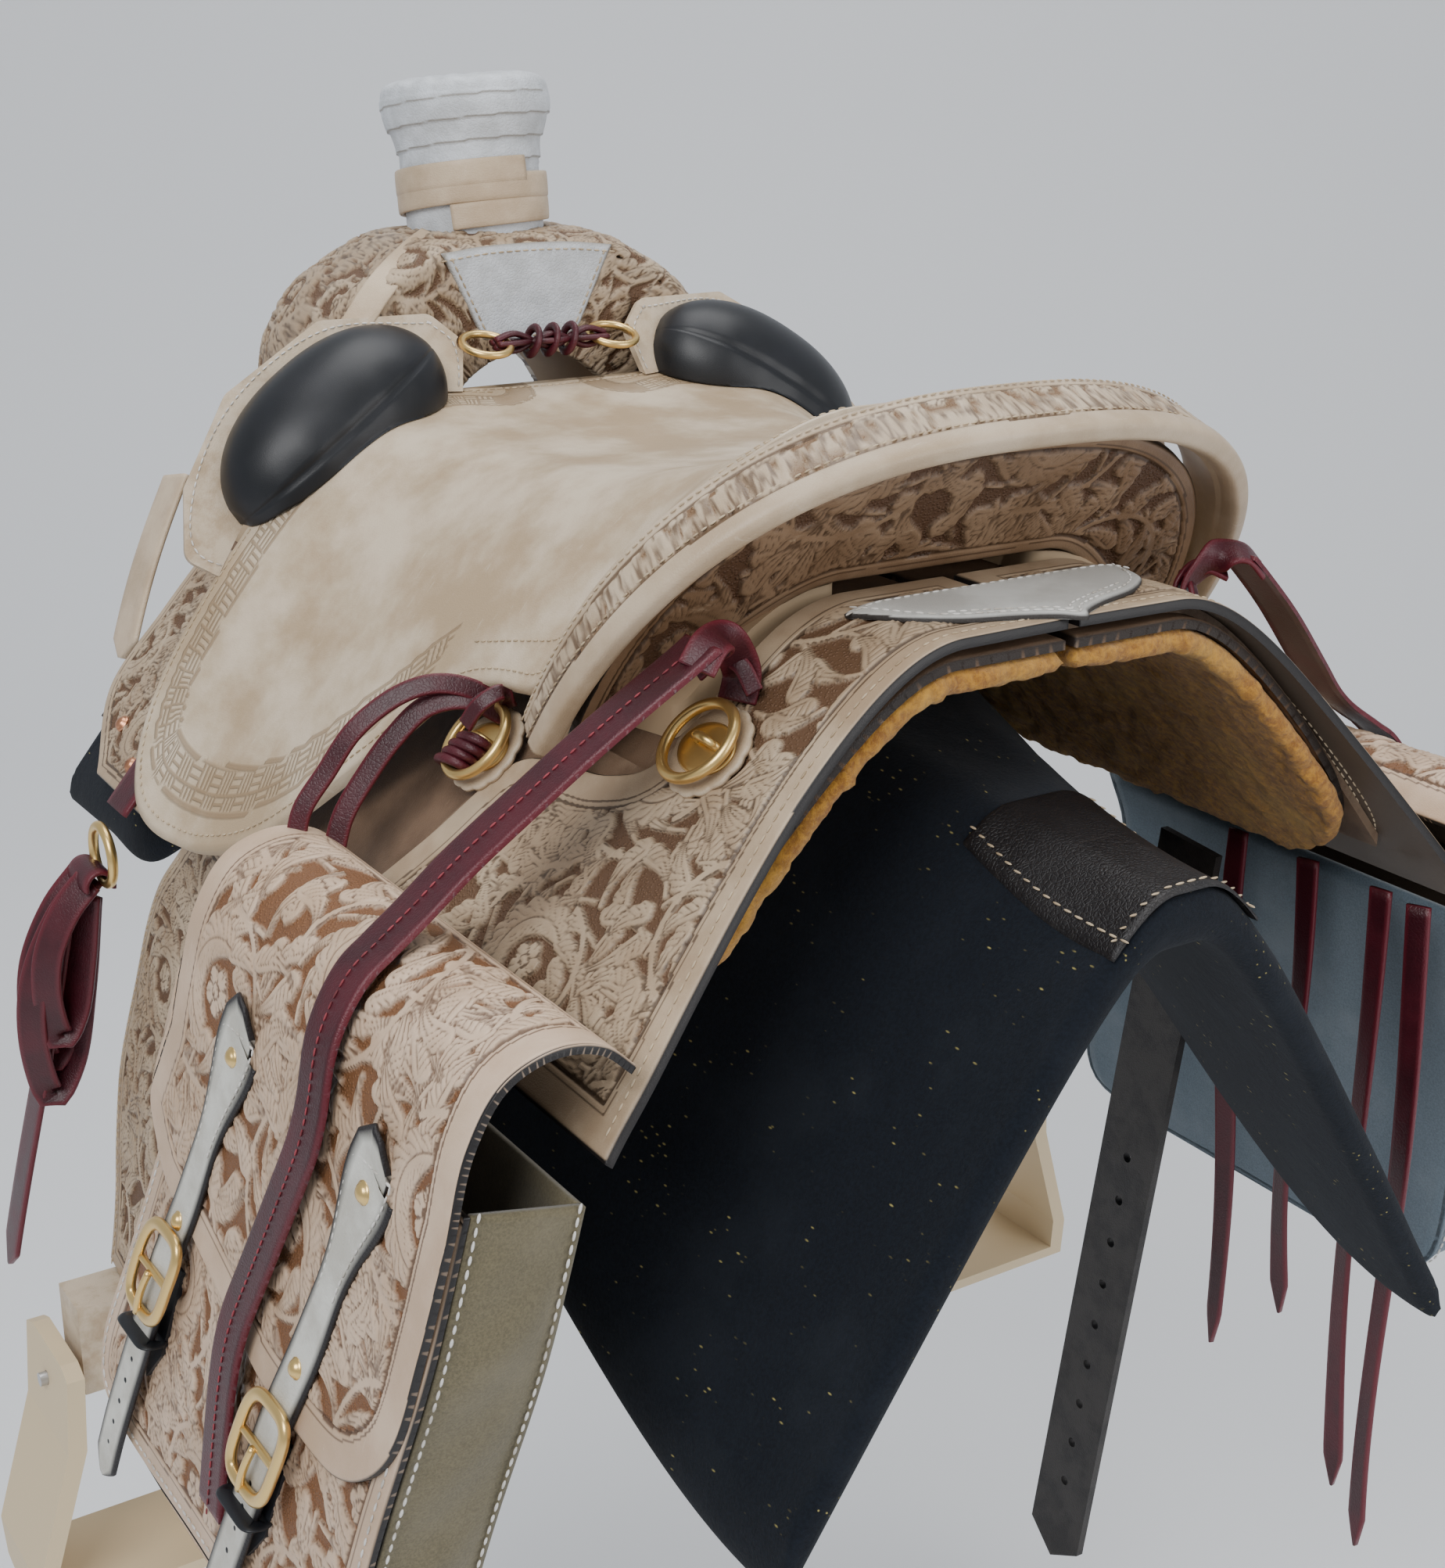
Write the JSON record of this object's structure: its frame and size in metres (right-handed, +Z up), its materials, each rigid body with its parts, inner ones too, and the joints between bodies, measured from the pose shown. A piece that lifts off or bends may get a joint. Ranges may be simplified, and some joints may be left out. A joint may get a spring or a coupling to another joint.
{
  "type": "western saddle",
  "caption": "Ranch style western saddle with post horn, bucking rolls, rolled cantle, swinging fenders and stirrups, and rear saddlebags, over a felt pad.",
  "frame": {"origin": "on the centre line, just under the ridge of the pad near mid length, where the saddle rests on a rack or a back", "axes": "+X to the off (right) side, +Y forward to the horn, +Z up"},
  "size_m": [0.772, 0.734, 0.9056],
  "materials": {
    "tooled_leather": "natural tooled leather with brown background and burnished cuts",
    "seat_leather": "natural mottled leather, waxed",
    "plain_leather": "plain natural leather with beaten edges",
    "skirting_leather": "dark brown oiled leather, double stitched",
    "black_leather": "smooth black roll leather",
    "mulehide": "white suede hide wrap",
    "latigo_leather": "burgundy latigo leather with red edges",
    "strap_leather": "white strap leather with black edges and white stitching",
    "bag_suede": "olive suede bag gusset and back",
    "billet_leather": "dark oiled billet with a row of holes",
    "spine_leather": "black pad leather with white stitching",
    "fleece": "golden wool fleece",
    "felt": "navy wool felt with lint",
    "brass": "polished solid brass",
    "tree_wood": "rawhide covered wood",
    "rawhide": "varnished rawhide over wood",
    "steel": "plain steel"
  },
  "bodies": {
    "root": {"saddle_pad": "felt", "pad_spine": "spine_leather", "fleeces": "fleece", "rear_jockeys": "skirting_leather", "yoke_patch": "mulehide", "bars": "tree_wood", "fork": "tree_wood", "fork_cover": "tooled_leather", "horn_core": "steel", "horn_wrap": "mulehide", "horn_cap": "plain_leather", "horn_strap": "plain_leather", "seat": "seat_leather", "cantle_board": "tree_wood", "cantle_back": "tooled_leather", "cheyenne_roll": "tooled_leather", "roll_backings": "plain_leather", "roll_tie": "latigo_leather", "roll_tie_rings": "brass", "ring_plates": "brass", "bag_chapes": "strap_leather", "saddle_strings": "latigo_leather", "latigo_keeper": "plain_leather", "skirt_left": "skirting_leather", "skirt_right": "skirting_leather", "bag_yoke_left": "tooled_leather", "bag_yoke_right": "tooled_leather", "front_jockey_left": "tooled_leather", "front_jockey_right": "tooled_leather", "bucking_roll_left": "black_leather", "bucking_roll_right": "black_leather", "bag_body_left": "bag_suede", "bag_body_right": "bag_suede", "bag_front_left": "tooled_leather", "bag_front_right": "tooled_leather"},
    "fender_left": {"fender_left": "tooled_leather", "neck_wrap_left": "plain_leather", "stirrup_bolt_left": "steel"},
    "stirrup_left": {"stirrup_left": "rawhide"},
    "bag_flap_left": {"bag_flap_left": "tooled_leather", "bag_straps_left": "strap_leather", "bag_buckles_left": "brass"},
    "tie_strap_left": {"tie_strap_left": "latigo_leather"},
    "seat_ring_left": {"seat_ring_left": "brass"},
    "jockey_ring_left": {"jockey_ring_left": "brass"},
    "rigging_ring_left": {"rigging_ring_left": "brass"},
    "latigo_left": {"latigo_left": "latigo_leather"},
    "fender_right": {"fender_right": "tooled_leather", "neck_wrap_right": "plain_leather", "stirrup_bolt_right": "steel"},
    "stirrup_right": {"stirrup_right": "rawhide"},
    "bag_flap_right": {"bag_flap_right": "tooled_leather", "bag_straps_right": "strap_leather", "bag_buckles_right": "brass"},
    "tie_strap_right": {"tie_strap_right": "latigo_leather"},
    "seat_ring_right": {"seat_ring_right": "brass"},
    "jockey_ring_right": {"jockey_ring_right": "brass"},
    "rigging_ring_right": {"rigging_ring_right": "brass"},
    "latigo_right": {"latigo_right": "latigo_leather"},
    "flank_billet": {"flank_billet": "billet_leather"}
  },
  "joints": [
    {"name": "fender_swing_left", "type": "hinge", "parent": "root", "child": "fender_left", "pos_m": [-0.232, 0.011, -0.055], "axis": [0.975, 0, -0.222], "range_deg": [-14, 12]},
    {"name": "stirrup_pivot_left", "type": "hinge", "parent": "fender_left", "child": "stirrup_left", "pos_m": [-0.318, 0.074, -0.442], "axis": [1, 0, 0], "range_deg": [-30, 30]},
    {"name": "flap_lift_left", "type": "hinge", "parent": "root", "child": "bag_flap_left", "pos_m": [-0.2385, -0.247, -0.083], "axis": [0, 1, 0], "range_deg": [0, 55]},
    {"name": "tie_strap_lift_left", "type": "hinge", "parent": "root", "child": "tie_strap_left", "pos_m": [-0.152, -0.3, 0.052], "axis": [0, 1, 0], "range_deg": [0, 55]},
    {"name": "seat_ring_flip_left", "type": "hinge", "parent": "root", "child": "seat_ring_left", "pos_m": [-0.17374, -0.15, -0.00858], "axis": [0, 1, 0], "range_deg": [0, 14]},
    {"name": "jockey_ring_flip_left", "type": "hinge", "parent": "root", "child": "jockey_ring_left", "pos_m": [-0.14042, -0.292, 0.02529], "axis": [0, 1, 0], "range_deg": [0, 50]},
    {"name": "rigging_ring_swing_left", "type": "hinge", "parent": "root", "child": "rigging_ring_left", "pos_m": [-0.277, 0.15, -0.146], "axis": [0, 1, 0], "range_deg": [0, 45]},
    {"name": "latigo_swing_left", "type": "hinge", "parent": "rigging_ring_left", "child": "latigo_left", "pos_m": [-0.291, 0.159, -0.18], "axis": [1, 0, 0], "range_deg": [-15, 20]},
    {"name": "fender_swing_right", "type": "hinge", "parent": "root", "child": "fender_right", "pos_m": [0.232, 0.011, -0.055], "axis": [0.975, 0, 0.222], "range_deg": [-14, 12]},
    {"name": "stirrup_pivot_right", "type": "hinge", "parent": "fender_right", "child": "stirrup_right", "pos_m": [0.318, 0.074, -0.442], "axis": [1, 0, 0], "range_deg": [-30, 30]},
    {"name": "flap_lift_right", "type": "hinge", "parent": "root", "child": "bag_flap_right", "pos_m": [0.2385, -0.247, -0.083], "axis": [0, -1, 0], "range_deg": [0, 55]},
    {"name": "tie_strap_lift_right", "type": "hinge", "parent": "root", "child": "tie_strap_right", "pos_m": [0.152, -0.3, 0.052], "axis": [0, -1, 0], "range_deg": [0, 55]},
    {"name": "seat_ring_flip_right", "type": "hinge", "parent": "root", "child": "seat_ring_right", "pos_m": [0.17374, -0.15, -0.00858], "axis": [0, -1, 0], "range_deg": [0, 14]},
    {"name": "jockey_ring_flip_right", "type": "hinge", "parent": "root", "child": "jockey_ring_right", "pos_m": [0.14042, -0.292, 0.02529], "axis": [0, -1, 0], "range_deg": [0, 50]},
    {"name": "rigging_ring_swing_right", "type": "hinge", "parent": "root", "child": "rigging_ring_right", "pos_m": [0.277, 0.15, -0.146], "axis": [0, -1, 0], "range_deg": [0, 45]},
    {"name": "latigo_swing_right", "type": "hinge", "parent": "rigging_ring_right", "child": "latigo_right", "pos_m": [0.291, 0.159, -0.18], "axis": [1, 0, 0], "range_deg": [-15, 20]},
    {"name": "flank_billet_swing", "type": "hinge", "parent": "root", "child": "flank_billet", "pos_m": [0.23, -0.208, -0.138], "axis": [1, 0, 0], "range_deg": [-20, 20]}
  ],
  "couplings": [
    {"joint": "tie_strap_lift_left", "follows": "flap_lift_left", "ratio": 1},
    {"joint": "tie_strap_lift_right", "follows": "flap_lift_right", "ratio": 1}
  ]
}
